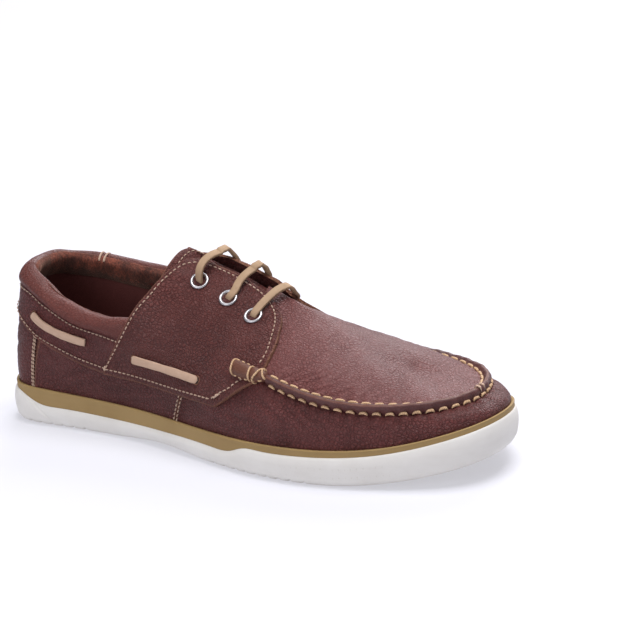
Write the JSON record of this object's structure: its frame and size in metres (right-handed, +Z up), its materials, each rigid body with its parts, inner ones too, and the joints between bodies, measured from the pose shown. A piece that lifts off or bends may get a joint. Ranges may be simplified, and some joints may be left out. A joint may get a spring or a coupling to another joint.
{
  "type": "boat shoe",
  "caption": "Low leather boat shoe with a raised apron seam, padded collar, open laced throat and cup sole.",
  "frame": {"origin": "on the floor, under the middle of the outsole's bounding box", "axes": "+X towards the toe, +Y towards the inner side of the foot, +Z up"},
  "size_m": [0.296, 0.107, 0.1004],
  "materials": {
    "outsole_white": "matt off-white rubber",
    "midsole_tan": "matt tan rubber strip",
    "insole_leather": "dark leather insole",
    "upper_leather": "pebbled red-brown leather, soft sheen",
    "saddle_leather": "pebbled red-brown leather, soft sheen",
    "tongue_leather": "smoother red-brown leather",
    "collar_leather": "padded soft leather",
    "seam_leather": "pinched leather seam, darker",
    "eyelet_nickel": "polished nickel",
    "lace_leather": "raw tan leather lace",
    "side_lace_leather": "raw tan leather lace",
    "lining": "napped brown lining",
    "thread": "waxed tan thread"
  },
  "bodies": {
    "root": {"outsole": "outsole_white", "midsole": "midsole_tan", "insole": "insole_leather", "upper": "upper_leather", "saddle_outer": "saddle_leather", "saddle_inner": "saddle_leather", "tongue": "tongue_leather", "collar": "collar_leather", "apron_seam": "seam_leather", "tab_outer": "seam_leather", "tab_inner": "seam_leather", "eyelet_outer_1": "eyelet_nickel", "eyelet_outer_2": "eyelet_nickel", "eyelet_outer_3": "eyelet_nickel", "eyelet_inner_1": "eyelet_nickel", "eyelet_inner_2": "eyelet_nickel", "eyelet_inner_3": "eyelet_nickel", "lace_bar_1": "lace_leather", "lace_bar_2": "lace_leather", "lace_bar_3": "lace_leather", "side_lace_outer_front": "side_lace_leather", "side_lace_outer_rear": "side_lace_leather", "side_lace_inner_front": "side_lace_leather", "side_lace_inner_rear": "side_lace_leather"}
  },
  "joints": []
}
